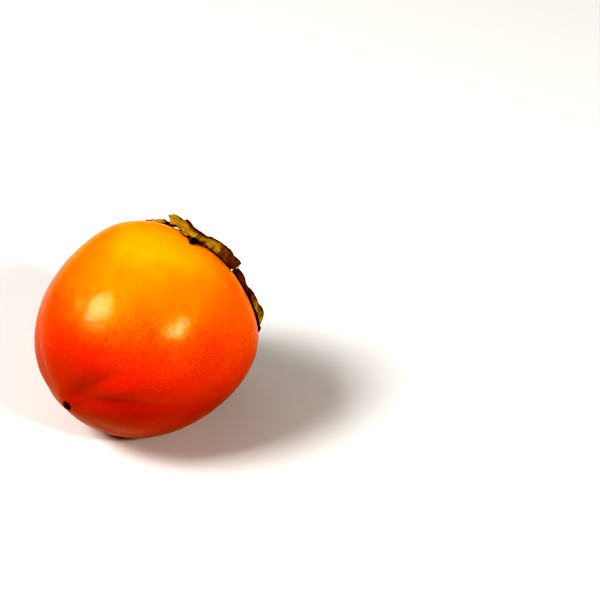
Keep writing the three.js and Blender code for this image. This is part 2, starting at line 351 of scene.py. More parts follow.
def leaf_mesh(name, middle, thickness, fields):
    """A thin closed mesh round a sheet of points, with a field that is 1 on its upper face."""
    normal = normals_of(middle, wraps=False)
    half = (thickness / 2)[..., None] * normal
    rows, columns = middle.shape[:2]
    upper = in_one_row(middle + half)
    lower = in_one_row(middle - half)
    index = np.arange(rows * columns).reshape(rows, columns)
    other = index + rows * columns
    faces = np.stack([index[:-1, :-1], index[1:, :-1], index[1:, 1:], index[:-1, 1:]], -1)
    under = np.stack([other[:-1, :-1], other[:-1, 1:], other[1:, 1:], other[1:, :-1]], -1)
    rim = np.concatenate([index[0, :-1], index[:-1, -1], index[-1, :0:-1], index[:0:-1, 0]])
    after = np.roll(rim, -1)
    edge = np.stack([rim, after, after + rows * columns, rim + rows * columns], -1)
    quads = np.concatenate([faces.reshape(-1, 4), under.reshape(-1, 4), edge])
    mesh = bpy.data.meshes.new(name)
    mesh.from_pydata(np.vstack([upper, lower]).tolist(), [], quads.tolist())
    for field, values in fields.items():
        add_field(mesh, field, np.concatenate([in_one_row(values)] * 2))
    add_field(mesh, "upper", np.concatenate([np.ones(len(upper)), np.zeros(len(lower))]))
    return mesh


def finished(context, mesh, look, node):
    """Lays a piece down, smooths it, gives it its look and lets it stand for its node."""
    mesh.transform(lying(context.scene.persimmon_fruit))
    mesh.validate()
    mesh.shade_smooth()
    mesh.materials.append(look)
    piece = bpy.data.objects.new(mesh.name, mesh)
    context.scene.collection.objects.link(piece)
    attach(piece, "root")
    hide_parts(node)


# ---- shader maths


class Wire:
    """An output socket. Arithmetic on one that holds a number adds Math nodes."""

    def __init__(self, look, socket):
        self.look = look
        self.socket = socket

    def worked(self, operation, first, second):
        return self.look.add("ShaderNodeMath", {"operation": operation}, {0: first, 1: second})

    def __add__(self, other):
        return self.worked("ADD", self, other)

    def __radd__(self, other):
        return self.worked("ADD", other, self)

    def __sub__(self, other):
        return self.worked("SUBTRACT", self, other)

    def __rsub__(self, other):
        return self.worked("SUBTRACT", other, self)

    def __mul__(self, other):
        return self.worked("MULTIPLY", self, other)

    def __rmul__(self, other):
        return self.worked("MULTIPLY", other, self)

    def dot(self, direction):
        """How far a vector reaches in a direction."""
        sockets = {0: self, 1: tuple(direction)}
        return self.look.add(
            "ShaderNodeVectorMath", {"operation": "DOT_PRODUCT"}, sockets, "Value"
        )

    def step(self, low, high):
        """0 below low, 1 above high and smooth between. With low above high it falls."""
        if low > high:
            return 1 - self.step(high, low)
        sockets = {"Value": self, "From Min": low, "From Max": high}
        return self.look.add(
            "ShaderNodeMapRange", {"interpolation_type": "SMOOTHSTEP"}, sockets
        )

    def ramp(self, *stops):
        """A colour that changes along stops of (place, colour)."""
        return self.look.add("ShaderNodeValToRGB", {"stops": stops}, {0: self})


class Look:
    """A material or a world, and the ways to add nodes to it."""

    def __init__(self, name, kind="materials"):
        self.made = getattr(bpy.data, kind).new(name)
        self.made.use_nodes = True
        self.tree = self.made.node_tree
        self.tree.nodes.clear()

    def add(self, kind, settings=None, sockets=None, output=0):
        """Adds a node: its settings first, then the values or links of its sockets."""
        node = self.tree.nodes.new(kind)
        for name, value in (settings or {}).items():
            if name == "stops":
                self.set_stops(node.color_ramp, value)
            else:
                setattr(node, name, value)
        for name, value in (sockets or {}).items():
            socket = self.open_socket(node.inputs, name)
            if isinstance(value, Wire):
                self.tree.links.new(value.socket, socket)
            else:
                socket.default_value = value
        return Wire(self, self.open_socket(node.outputs, output)) if node.outputs else None

    @staticmethod
    def open_socket(sockets, name):
        """The socket of that name or number, counting only those in use."""
        in_use = [s for s in sockets if s.enabled]
        if isinstance(name, int):
            return in_use[name]
        return next(s for s in in_use if s.name == name)

    @staticmethod
    def set_stops(ramp, stops):
        while len(ramp.elements) > 1:
            ramp.elements.remove(ramp.elements[-1])
        for i, (place, tint) in enumerate(stops):
            stop = ramp.elements[0] if i == 0 else ramp.elements.new(place)
            stop.position = place
            stop.color = (*tint, 1.0)

    def field(self, name):
        """A number that the mesh holds at each point."""
        return self.add("ShaderNodeAttribute", {"attribute_name": name}, None, "Fac")

    def place(self, name):
        """A vector that the mesh holds at each point."""
        return self.add("ShaderNodeAttribute", {"attribute_name": name}, None, "Vector")

    def noise(self, where, size, detail=2.0, roughness=0.5, distortion=0.0):
        """Noise from 0 to 1 with features of that size."""
        sockets = {"Vector": where, "Scale": 1 / size, "Detail": detail}
        sockets |= {"Roughness": roughness, "Distortion": distortion}
        return self.add("ShaderNodeTexNoise", None, sockets)

    def cells(self, where, size, output="Distance", feature="F1"):
        """Distance or colour of scattered cells of that size."""
        sockets = {"Vector": where, "Scale": 1 / size}
        return self.add("ShaderNodeTexVoronoi", {"feature": feature}, sockets, output)

    def mix(self, mask, first, second):
        """The first colour where the mask is 0 and the second where it is 1."""
        first, second = (c if isinstance(c, Wire) else (*c, 1.0) for c in (first, second))
        sockets = {"Factor": mask, "A": first, "B": second}
        return self.add("ShaderNodeMix", {"data_type": "RGBA"}, sockets, "Result")

    def bumps(self, height, distance, strength, normal=None):
        """A bumped normal from a height of 0 to 1 that stands for that distance."""
        sockets = {"Height": height, "Distance": distance, "Strength": strength}
        if normal is not None:
            sockets["Normal"] = normal
        return self.add("ShaderNodeBump", None, sockets)

    def surface(self, sockets):
        """Ends the look in a Principled shader with those sockets."""
        shader = self.add("ShaderNodeBsdfPrincipled", None, sockets)
        self.add("ShaderNodeOutputMaterial", None, {"Surface": shader})
        return self.made


# ---- the looks

TOPLIT = (-0.96, -0.06, 0.24)  # the side that faces up as the fruit lies, in the fruit's frame: golden there, partly painted light
FRECKLE_SPACING = 2.6 * MM
FLOOR_TOOTH = (0.66, 0.66, 0.66)


def skin_look(fruit):
    """Waxy skin: golden shoulder (partly painted light), red blush (partly painted shade), fine
    net, dark freckles, corky shoulder marks.
    """
    look = Look("persimmon_skin")
    place = look.place("place")
    from_tip = look.field("from_tip")
    drift = look.noise(place, 16 * MM, detail=3)
    patches = look.noise(place, 5 * MM, detail=4, roughness=0.6)
    net = look.cells(place, 0.75 * MM)
    grain = look.noise(place, 0.55 * MM, detail=2, roughness=0.6)

    # Golden on the top side as the fruit lies and round the calyx, red below and towards the
    # blossom
    # end: partly the skin's own colouring, partly painted light on top and painted shade
    # underneath.
    toplit = place.dot([s / fruit.radius for s in TOPLIT])
    crown = from_tip.step(0.69, 0.90) * 0.45
    ripened = (drift - 0.5) * 0.32 + (patches - 0.5) * 0.14
    golden = toplit + crown + (from_tip - 0.54) * 0.90 + ripened
    base = (0.3 + 0.7 * golden).ramp(
        (0.0, fruit.apex),
        (0.27, fruit.blush_and_shade),
        (0.47, Vector(fruit.blush_and_shade).lerp(Vector(fruit.flank), 0.35)),
        (0.68, fruit.flank),
        (0.91, fruit.shoulder),
        (1.0, fruit.crown),
    )
    tip = from_tip.step(0.34, 0.04) * 0.85
    base = look.mix(tip, base, fruit.apex)

    # Fine mottling, darker and lighter, which shows most where the skin is red.
    fine = (net - 0.4) * 0.35 + (grain - 0.5) * 0.5
    red = golden.step(0.75, 0.25)
    base = look.mix(fine.step(0.0, 0.22) * (0.10 + 0.46 * red), base, fruit.pore)
    base = look.mix(fine.step(0.0, -0.22) * (0.10 + 0.16 * red), base, fruit.shoulder)

    # A freckle in about one cell of ten.
    dots = look.cells(place, FRECKLE_SPACING)
    lot = look.cells(place, FRECKLE_SPACING, "Color")
    chosen = look.add("ShaderNodeSeparateColor", None, {0: lot}).step(0.86, 0.90)
    freckles = dots.step(0.13, 0.06) * chosen * 0.5
    base = look.mix(freckles, base, fruit.freckle)

    ribs = look.noise(look.place("streak"), 1.0, detail=4, roughness=0.7)
    corky = look.field("under_calyx") * ribs.step(0.56, 0.68)
    base = look.mix(corky * 0.8, base, fruit.scar)

    roughness = fruit.roughness + (patches - 0.5) * 0.10 + corky * 0.35 + tip * 0.12
    normal = look.bumps(net, 0.05 * MM, 0.35)
    normal = look.bumps(patches, 0.25 * MM, 0.30, normal)
    normal = look.bumps(corky, 0.12 * MM, 0.6, normal)
    return look.surface(
        {
            "Base Color": base,
            "Roughness": roughness,
            "Normal": normal,
            "IOR": 1.4,
            "Specular IOR Level": 0.46,
            "Specular Tint": (1.0, 0.8, 0.6, 1.0),
            "Subsurface Weight": 0.10,
            "Subsurface Radius": (1.0, 0.25, 0.05),
            "Subsurface Scale": 2.5 * MM,
        }
    )


def sepal_look(calyx):
    """Dry leaf: olive and tan blade, parallel side veins, brown blotches and a dark underside,
    both partly painted shade, charred margin.
    """
    look = Look("dry_sepal")
    place = look.place("place")
    upper = look.field("upper")
    margin = look.field("margin")
    veins = look.field("veins")
    blotch = look.noise(place, 5 * MM, detail=4, roughness=0.65)
    fibre = look.noise(look.place("streak"), 1.0, detail=3, roughness=0.7)
    specks = look.noise(place, 0.6 * MM, detail=3, roughness=0.7)

    browning_and_shade = look.field("browning_and_shade")
    blade = look.mix(blotch.step(0.46, 0.66), calyx.blade, calyx.blade_pale)
    blade = look.mix(margin.step(0.30, 0.62) * 0.7, blade, calyx.blade_pale)
    # Browner where the browning values are high: partly the dried colour, partly painted shade on
    # the hanging parts that face away from the light.
    brown = (blotch + 0.22 - browning_and_shade * 0.34).step(0.58, 0.40)
    blade = look.mix(brown * 0.85, blade, calyx.blade_brown)
    blade = look.mix(fibre.step(0.50, 0.70) * 0.5, blade, calyx.blade_brown)
    blade = look.mix(veins * 0.8, blade, calyx.vein)
    blade = look.mix(specks.step(0.60, 0.74) * 0.5, blade, calyx.vein)
    fold = look.field("fold") * (1.0 + (blotch - 0.5) * 0.8)
    blade = look.mix(fold, blade, calyx.fold)
    # The face on the fruit: partly its dry brown colour, partly painted shade.
    under = look.mix(fibre.step(0.35, 0.7) * 0.6, calyx.shaded_underside, calyx.blade_brown)
    tint = look.mix(upper, under, blade)
    dry = (margin * 0.9 + (specks - 0.5) * 0.5 + (blotch - 0.5) * 1.1).step(0.78, 1.0)
    tint = look.mix(dry, tint, calyx.margin)
    tint = look.mix(look.field("charred"), tint, calyx.char)

    height = veins * 0.6 + fibre * 0.5 + specks * 0.3
    return look.surface(
        {
            "Base Color": tint,
            "Roughness": 0.62 + (fibre - 0.5) * 0.25 + dry * 0.1,
            "Normal": look.bumps(height, 0.22 * MM, 0.8),
            "Specular IOR Level": 0.35,
        }
    )


def disc_look(calyx):
    """Woody disc: radial fibres, cracked cork, darker in its furrows, with painted shade in a ring
    round the stalk's foot.
    """
    look = Look("calyx_wood")
    place = look.place("place")
    fibre = look.noise(look.place("streak"), 1.0, detail=4, roughness=0.7)
    cork = look.cells(place, 1.6 * MM, feature="DISTANCE_TO_EDGE")
    specks = look.noise(place, 0.5 * MM, detail=3, roughness=0.7)
    blotch = look.noise(place, 6 * MM, detail=3)
    hollow = look.field("hollow")
    tint = look.mix(fibre.step(0.40, 0.62), calyx.wood_dark, calyx.wood)
    tint = look.mix(blotch.step(0.45, 0.65) * 0.5, tint, calyx.blade)
    tint = look.mix(cork.step(0.08, 0.0) * 0.6, tint, calyx.wood_dark)
    tint = look.mix(specks.step(0.58, 0.72) * 0.6, tint, calyx.margin)
    # Painted shade: a darker ring round the stalk's foot, where it stands in the disc.
    tint = look.mix(hollow * 0.7, tint, calyx.wood_dark)
    height = fibre * 0.7 + cork.step(0.0, 0.12) * 0.4 + specks * 0.3
    return look.surface(
        {
            "Base Color": tint,
            "Roughness": 0.78 + (specks - 0.5) * 0.2,
            "Normal": look.bumps(height, 0.35 * MM, 0.8),
            "Specular IOR Level": 0.3,
        }
    )


def stalk_look(stalk):
    """Bark with lengthways cracks, and a paler cut end with a dark pith."""
    look = Look("stalk_wood")
    place = look.place("place")
    crack = look.noise(look.place("streak"), 1.0, detail=4, roughness=0.7)
    specks = look.noise(place, 0.35 * MM, detail=3, roughness=0.7)
    end = look.field("cut_end")
    centre = look.field("from_pith")
    rings = look.noise(place, 0.5 * MM, detail=3, distortion=0.5)
    bark = look.mix(crack.step(0.42, 0.62), stalk.pith, stalk.bark)
    bark = look.mix(specks.step(0.55, 0.7) * 0.5, bark, stalk.cut)
    wood = look.mix(rings.step(0.45, 0.65) * 0.6, stalk.cut, stalk.bark)
    wood = look.mix((centre + (rings - 0.5) * 0.3).step(0.38, 0.22), wood, stalk.pith)
    tint = look.mix(end, bark, wood)
    return look.surface(
        {
            "Base Color": tint,
            "Roughness": 0.8 + (specks - 0.5) * 0.2,
            "Normal": look.bumps(crack * 0.7 + specks * 0.4, 0.25 * MM, 0.8),
            "Specular IOR Level": 0.3,
        }
    )


def style_look(stalk):
    """Dead black tissue with a dull sheen on its folds."""
    look = Look("withered_style")
    place = look.place("place")
    grain = look.noise(place, 0.4 * MM, detail=3, roughness=0.7)
    folds = look.noise(place, 1.2 * MM, detail=2)
    tint = look.mix(grain.step(0.55, 0.75) * 0.5, stalk.style, stalk.pith)
    return look.surface(
        {
            "Base Color": tint,
            "Roughness": 0.6 + (folds - 0.5) * 0.3,
            "Normal": look.bumps(grain, 0.2 * MM, 0.8),
        }
    )


def floor_look(stage):
    """Plain pale matt surface with the faintest tooth."""
    look = Look("pale_floor")
    where = look.add("ShaderNodeTexCoord", None, None, "Object")
    tooth = look.noise(where, 2 * MM, detail=2)
    tint = look.mix(tooth.step(0.3, 0.7) * 0.02, stage.floor, FLOOR_TOOTH)
    return look.surface({"Base Color": tint, "Roughness": 0.6 + tooth * 0.05})


# ---- the pieces

LUMP_HEIGHT = 0.16 * MM
SMALL_LUMPS = 0.3  # height of the small lumps as a share of the large ones
DIMPLE_DEPTH = 0.9 * MM  # of the dimple that the style stands in
DIMPLE_RADIUS = 1.9 * MM
CORKY_EDGE = 46 * DEG  # how far from the stem end the corky marks reach
CORKY_FADE = 14 * DEG


class PERSIMMON_OT_fruit(Operator):
    """Makes the fruit, with its furrows, its stem cavity and the flat spot it rests on"""

    bl_idname = "persimmon.fruit"
    bl_label = "Fruit"

    def execute(self, context):
        fruit = context.scene.persimmon_fruit
        polar, around = polar_grid(fruit.rings, fruit.segments)
        points = skin(fruit, polar, around)
        outward = -normals_of(points, wraps=True)
        outward[0] = (0, 0, -1)
        outward[-1] = (0, 0, 1)
        lumps = rough(points, 14 * MM) + SMALL_LUMPS * rough(points, 4 * MM)
        dimple = (np.cos(polar) > 0) * bell(off_axis(points), DIMPLE_RADIUS)
        shift = LUMP_HEIGHT * lumps - DIMPLE_DEPTH * dimple
        fields = {
            "place": points,
            "streak": streaks(around, 26, points[..., 2] / (6 * MM)),
            "from_tip": polar / math.pi,
            "under_calyx": np.clip((CORKY_EDGE - math.pi + polar) / CORKY_FADE, 0, 1),
        }
        points = points + shift[..., None] * outward
        mesh = closed_surface("persimmon_fruit", points, fields)
        finished(context, mesh, skin_look(fruit), "fruit")
        rest_on_floor(mesh)
        return {"FINISHED"}


def rest_on_floor(mesh):
    """Presses what would sink through the table flat against it."""
    for vertex in mesh.vertices:
        vertex.co.z = max(vertex.co.z, FRUIT_LOW.z)


DISC_EDGE = 17.2 * DEG  # from the stem end
DISC_GAP = 0.3 * GAP  # under it
DISC_RIM = 1.0 * MM  # thickness of its edge
DISC_SEAT = 0.3  # share of the disc's radius within which it is level
RIDGE_HEIGHT = 0.7 * MM
RIDGE_RADIUS = 8.5 * MM
RIDGE_WIDTH = 2.2 * MM
DISC_WEAR = 0.28 * MM
HOLLOW_RADIUS = 4.4 * MM  # of the ring of painted shade round the stalk's foot
HOLLOW_WIDTH = 0.9 * MM


def disc_top(fruit, calyx, out, around):
    """The top of the disc, level in the middle and with a low ridge in line with each sepal."""
    points = above_skin(fruit, out * DISC_EDGE, around, 0)
    slope = np.maximum(out, DISC_SEAT)
    ridge = RIDGE_HEIGHT * bell(off_axis(points) - RIDGE_RADIUS, RIDGE_WIDTH)
    ridge *= 0.5 + 0.5 * np.cos(4 * (around - SEPALS[0].at * DEG))
    dome = (calyx.disc_thickness - DISC_RIM) * np.sqrt(np.clip(1 - slope**2, 0, 1))
    lift = GAP + DISC_RIM + dome + ridge
    points[..., 2] = above_skin(fruit, slope * DISC_EDGE, around, lift)[..., 2]
    return points


class PERSIMMON_OT_disc(Operator):
    """Makes the woody disc of the calyx, seated in the fruit's cavity"""

    bl_idname = "persimmon.disc"
    bl_label = "Calyx disc"

    rings = 40
    segments = 160

    def execute(self, context):
        fruit = context.scene.persimmon_fruit
        calyx = context.scene.persimmon_calyx
        out, around = turned(np.linspace(0, 1, self.rings), self.segments)
        below = above_skin(fruit, out * DISC_EDGE, around, DISC_GAP)
        above = disc_top(fruit, calyx, out, around)
        above[..., 2] += rough(above, 2.2 * MM, 4) * DISC_WEAR * (1 - 0.5 * out)
        points = np.concatenate([below, above[::-1]])
        around = np.concatenate([around, around[::-1]])
        radius = off_axis(points)
        fields = {
            "place": points,
            "streak": streaks(around, 14, radius / (5 * MM)),
            "hollow": bell(radius - HOLLOW_RADIUS, HOLLOW_WIDTH),
        }
        mesh = closed_surface("calyx_disc_piece", points, fields)
        finished(context, mesh, disc_look(calyx), "calyx_disc")
        return {"FINISHED"}


# The sepals. In degrees: where each leaves the disc, half its width there, and how much that
# narrows by its outer end. Then seven values across its width, from one side to the other: how
# far it reaches in millimetres, the angle it stands at where it leaves the disc, the angle it sags
# to before its fold, the angle its outer part hangs at, the share of its length at which it folds,
# and how brown it is drawn, which is partly its dried colour and partly painted shade on the
# hanging parts that face away from the light. The tip is at a place across the width, from -1 to
# 1.
SEPALS = (
    SimpleNamespace(
        at=195.5,
        half=43.5,
        narrows=7,
        reach=(20, 21.5, 23.5, 25.5, 22.5, 21.5, 24),
        stands=(28, 28, 24, 18, 26, 30, 34),
        sags=(2, -2, -16, -30, -12, -4, 8),
        hangs=(-60, -80, -86, -86, -84, -78, -66),
        folds=(0.84, 0.71, 0.74, 0.77, 0.73, 0.71, 0.6),
        tip_at=0.15,
        browning_and_shade=(0.3, 0.2, 0.0, 0.0, 0.4, 1.0, 1.6),
    ),
    SimpleNamespace(
        at=284.5,
        half=43.5,
        narrows=-6,
        reach=(18, 20, 22.5, 23, 21.5, 19.5, 17),
        stands=(28, 20, 20, 22, 12, 8, 8),
        sags=(-4, -16, -16, -14, -22, -26, -26),
        hangs=(-66, -66, -70, -72, -70, -66, -60),
        folds=(0.76, 0.74, 0.73, 0.74, 0.72, 0.73, 0.8),
        tip_at=0.55,
        browning_and_shade=(1.2, 1.0, 0.6, 0.3, 0.9, 1.1, 1.2),
    ),
    SimpleNamespace(
        at=17.5,
        half=43.5,
        narrows=5,
        reach=(16, 20, 22, 23, 22, 20, 16),
        stands=(26, 22, 24, 18, 22, 20, 28),
        sags=(0, -8, -16, -24, -14, -8, 4),
        hangs=(-40, -70, -76, -80, -74, -66, -40),
        folds=(0.8, 0.75, 0.72, 0.74, 0.72, 0.75, 0.8),
        tip_at=0.1,
        browning_and_shade=(0.8, 0.4, 0.3, 0.6, 0.4, 0.5, 0.9),
    ),
    SimpleNamespace(
        at=106,
        half=42.5,
        narrows=-3,
        reach=(15, 19, 22, 22.5, 22, 20.5, 19),
        stands=(30, 20, 18, 22, 16, 18, 24),
        sags=(6, -8, -20, -16, -19, -12, -4),
        hangs=(-30, -66, -80, -76, -72, -70, -66),
        folds=(0.84, 0.75, 0.72, 0.76, 0.72, 0.75, 0.78),
        tip_at=-0.15,
        browning_and_shade=(0.9, 0.5, 0.4, 0.6, 0.5, 0.7, 0.9),
    ),
)
SEPAL_BASE = 16.4 * DEG  # from the stem end, just inside the disc's edge
SEPAL_LIFT = 0.3 * MM
SEPAL_CLEARANCE = 0.25 * MM  # between a sepal's underside and the skin
BLUNT = 0.12  # how far a sepal's outer corners are rounded back
FOLD_WIDTH = 0.26  # share of a strip over which it folds
NARROWING = 1.5  # how late along its length a sepal narrows
TIP_WIDTH = 0.08  # as a share of half a sepal's width
TIP_LENGTH = 4.6 * MM
BITE_WIDTH = 0.09  # of the ragged bites in a margin, as a share of half a sepal's width
BITE_DEPTH = 1.6 * MM
TEETH = 0.2  # how far a margin stands out between bites, as a share of their depth
RIPPLE_HEIGHT = 0.40 * MM
BUCKLE_HEIGHT = 0.9 * MM
CRINKLE_HEIGHT = 0.45 * MM
VEIN_DEPTH = 0.20 * MM
VEIN_SWELLING = 0.35  # how much thicker a sepal is at a vein
SEPAL_HALF_WIDTH = 18 * MM
MARGIN_WIDTH = 0.9 * MM  # of the dark margin
THIN_WIDTH = 1.5 * MM  # of the edge that thins out
THIN_EDGE = 0.55  # thickness of the edge as a share of the sepal's
CHARRED_FROM = 0.74  # share of the length from which the tip is shrivelled
FOLD_LINE = 0.05  # width of the brown line along the fold, as a share of the length


def spread(values, across):
    """A smooth curve through values that stand at even steps across, from -1 to 1."""
    padded = np.array([2 * values[0] - values[1], *values, 2 * values[-1] - values[-2]], float)
    spot = (across + 1) / 2 * (len(values) - 1)
    cell = np.clip(np.floor(spot).astype(int), 0, len(values) - 2)
    f = spot - cell
    a, b, c, d = (padded[cell + i] for i in range(4))
    return 0.5 * (
        2 * b + (c - a) * f + (2 * a - 5 * b + 4 * c - d) * f**2 + (3 * b - a - 3 * c + d) * f**3
    )


def smooth(rise):
    """Rises from 0 to 1 with a level start and end."""
    rise = np.clip(rise, 0, 1)
    return rise * rise * (3 - 2 * rise)


def sepal_sheet(fruit, calyx, sepal, out, across):
    """The middle sheet of a sepal: strips that leave the disc, fold over and slide on the skin.

    Also gives how near each strip is to the tip, its length, and how far past the fold it is.
    """
    tip = bell(across - sepal.tip_at, TIP_WIDTH)
    blade = spread(sepal.reach, across) * MM * (1 - BLUNT * np.abs(across) ** 6)
    bitten = rough(np.stack([across, across * 0 + sepal.at, across * 0], -1), BITE_WIDTH, 4)
    long = blade + TIP_LENGTH * tip + BITE_DEPTH * np.minimum(bitten, TEETH)
    stand = spread(sepal.stands, across) * DEG
    sag = spread(sepal.sags, across) * DEG
    hang = spread(sepal.hangs, across) * DEG
    fold = spread(sepal.folds, across)
    past_fold = out * long / blade - fold
    lean = stand + (sag - stand) * np.clip(1 + past_fold / fold, 0, 1)
    lean += (hang - lean) * smooth(past_fold / FOLD_WIDTH + 0.5)
    around = sepal.at * DEG + across * (sepal.half - sepal.narrows * out**NARROWING) * DEG
    clear = SEPAL_CLEARANCE + calyx.thickness / 2
    foot = above_skin(fruit, np.full_like(around[0], SEPAL_BASE), around[0], GAP + SEPAL_LIFT)
    radius = np.zeros_like(out)
    height = np.zeros_like(out)
    radius[0] = off_axis(foot)
    height[0] = foot[..., 2]
    for row in range(1, len(out)):
        step = long[row] / (len(out) - 1)
        level = shoulder_height(fruit, radius[row - 1], around[row])
        drop = shoulder_height(fruit, radius[row - 1] + step, around[row]) - level
        slope = np.hypot(step, drop) / step
        free = radius[row - 1] + step * np.cos(lean[row])
        fall = height[row - 1] + step * np.sin(lean[row])
        sinks = fall < shoulder_height(fruit, free, around[row]) + clear * slope
        radius[row] = np.where(sinks, radius[row - 1] + step / slope, free)
        floor = shoulder_height(fruit, radius[row], around[row]) + clear * slope
        height[row] = np.where(sinks, floor, fall)
    return round_axis(radius, around, height), tip, long, past_fold


class PERSIMMON_OT_sepals(Operator):
    """Makes the four dry sepals, curled over the fruit's shoulder"""

    bl_idname = "persimmon.sepals"
    bl_label = "Sepals"

    rows = 76
    columns = 240
    crowding = 0.98  # the nearer to 1, the closer the columns stand together at the margins

    def execute(self, context):
        fruit = context.scene.persimmon_fruit
        calyx = context.scene.persimmon_calyx
        look = sepal_look(calyx)
        for number, sepal in enumerate(SEPALS, 1):
            mesh = self.sepal_mesh(fruit, calyx, sepal, number)
            finished(context, mesh, look, f"sepal_{number}")
        return {"FINISHED"}

    def sepal_mesh(self, fruit, calyx, sepal, number):
        across = np.sin(np.linspace(-1, 1, self.columns) * self.crowding * math.pi / 2)
        out, across = np.meshgrid(
            np.linspace(0, 1, self.rows), across / across.max(), indexing="ij"
        )
        points, tip, long, past_fold = sepal_sheet(fruit, calyx, sepal, out, across)
        wander = rough(points + (number, 0, 0), 6 * MM)
        ridge = 1 - np.abs(np.sin(across * calyx.veins * math.pi / 2 + wander * 1.4))
        veins = np.clip(ridge * 1.8 - 0.6, 0, 1) * (0.3 + 0.7 * out)
        points = self.dried(points, out, across, wander, veins, number)
        points = self.kept_off_skin(fruit, calyx, points)
        edge = np.minimum((1 - out) * long, (1 - np.abs(across)) * SEPAL_HALF_WIDTH)
        thin = THIN_EDGE + (1 - THIN_EDGE) * np.clip(edge / THIN_WIDTH, 0, 1)
        thickness = calyx.thickness * thin * (1 + VEIN_SWELLING * veins)
        shrivelled = np.clip(np.sqrt(tip) * 2.2 - 0.6, 0, 1)
        fields = {
            "place": points,
            "streak": np.stack([across * 22, out * 3, np.full_like(out, number * 5.0)], -1),
            "margin": np.exp(-edge / MARGIN_WIDTH),
            "veins": veins,
            "charred": shrivelled * np.clip((out - CHARRED_FROM) * 8, 0, 1),
            "browning_and_shade": spread(sepal.browning_and_shade, across) * np.clip(out * 3 - 1.3, 0.4, 1),
            "fold": bell(past_fold + 0.01, FOLD_LINE),
        }
        return leaf_mesh(f"sepal_piece_{number}", points, thickness, fields)

    @staticmethod
    def dried(points, out, across, wander, veins, number):
        """Ripples, buckles and crinkles a sheet the more the further out, and sinks its veins."""
        ripple = np.sin(across * 13 + wander * 2.5 + number)
        buckle = rough(points + (0, 0, number), 5 * MM, 2)
        crinkle = rough(points + (0, number, 0), 2.5 * MM, 4)
        shift = RIPPLE_HEIGHT * ripple * out**2 - VEIN_DEPTH * veins
        shift += (BUCKLE_HEIGHT * buckle + CRINKLE_HEIGHT * crinkle) * out
        return points + shift[..., None] * normals_of(points, wraps=False)

    @staticmethod
    def kept_off_skin(fruit, calyx, points):
        """Lifts what would sink into the skin."""
        around = np.arctan2(points[..., 1], points[..., 0])
        floor = shoulder_height(fruit, off_axis(points), around)
        floor += SEPAL_CLEARANCE + calyx.thickness / 2
        points[..., 2] = np.maximum(points[..., 2], floor)
        return points


# The stalk's outline from its foot to its cut end: the height in millimetres, the share of the
# foot's flare that is left there, and the width as a share of the stalk's.
STALK_OUTLINE = (
    (0, 1, 1),
    (0.1, 0.94, 1),
    (0.5, 0.69, 1),
    (1.1, 0.33, 1),
    (1.8, 0.11, 1),
    (2.6, 0, 0.98),
    (3.4, 0, 0.96),
    (4.3, 0, 1.02),
    (5.1, 0, 1.08),
    (5.5, 0, 1.02),
)
STALK_SUNK = 0.25 * MM  # how deep its foot sits in the disc
BARK_DEPTH = 0.16 * MM
BARK_FROM = 0.93  # share of the stalk's radius outside which there is bark
CUT_SUNK = 0.25 * MM  # how far the dried cut end has sunk
SPLINTER_HEIGHT = 0.3 * MM


class PERSIMMON_OT_stalk(Operator):
    """Makes the cut stalk in the middle of the disc"""

    bl_idname = "persimmon.stalk"
    bl_label = "Stalk"

    foot_rows = 4
    side_rows = 40
    cut_rows = 11
    segments = 96

    def execute(self, context):
        fruit = context.scene.persimmon_fruit
        calyx = context.scene.persimmon_calyx
        stalk = context.scene.persimmon_stalk
        seat = disc_top(fruit, calyx, np.zeros((1, 1)), np.zeros((1, 1)))[0, 0, 2]
        radius, level, cut_end = self.outline(stalk)
        radius, around = turned(radius, self.segments)
        level, _ = turned(level, self.segments)
        cut_end, _ = turned(cut_end, self.segments)
        smooth_stalk = round_axis(radius, around, level)
        up = level / level.max()
        bark = rough(smooth_stalk * (1, 1, 0.35), 0.8 * MM) * (radius > BARK_FROM * stalk.radius)
        radius = radius + BARK_DEPTH * bark
        splinter = rough(smooth_stalk * (1, 1, 0), 0.9 * MM)
        level = level + (SPLINTER_HEIGHT * splinter - CUT_SUNK) * (up > 0.99)
        points = round_axis(radius, around, level)
        points[..., 0] += stalk.lean * up**2
        points[..., 2] += seat - STALK_SUNK
        fields = {
            "place": points,
            "streak": streaks(around, 7, level / (3 * MM)),
            "cut_end": cut_end,
            "from_pith": radius / stalk.radius,
        }
        mesh = closed_surface("stalk_stub_piece", points, fields)
        finished(context, mesh, stalk_look(stalk), "stalk_stub")
        return {"FINISHED"}

    def outline(self, stalk):
        """Radius, height and a 1 on the cut end, from the middle of the foot to the pith."""
        heights, flare, waist = np.array(STALK_OUTLINE).T
        widths = stalk.radius * waist + (stalk.foot_radius - stalk.radius) * flare
        rise = np.linspace(0, heights[-1] * MM, self.side_rows)
        side = np.interp(rise, heights * MM, widths)
        foot = np.linspace(0, side[0], self.foot_rows, endpoint=False)
        cut = np.linspace(side[-1], 0, self.cut_rows + 1)[1:]
        radius = np.concatenate([foot, side, cut])
        level = np.concatenate([foot * 0, rise, np.full_like(cut, rise[-1])])
        return radius, level, np.concatenate([foot * 0, side * 0, np.ones_like(cut)])


STYLE_RADIUS = 1.55 * MM
STYLE_LENGTH = 1.9 * MM
STYLE_ROOT = 0.9 * MM  # how much of it stands in the fruit's dimple
STYLE_CLEFTS = 0.20
STYLE_CRUMPLE = (0.22 * MM, 0.18 * MM)  # across and along the axis


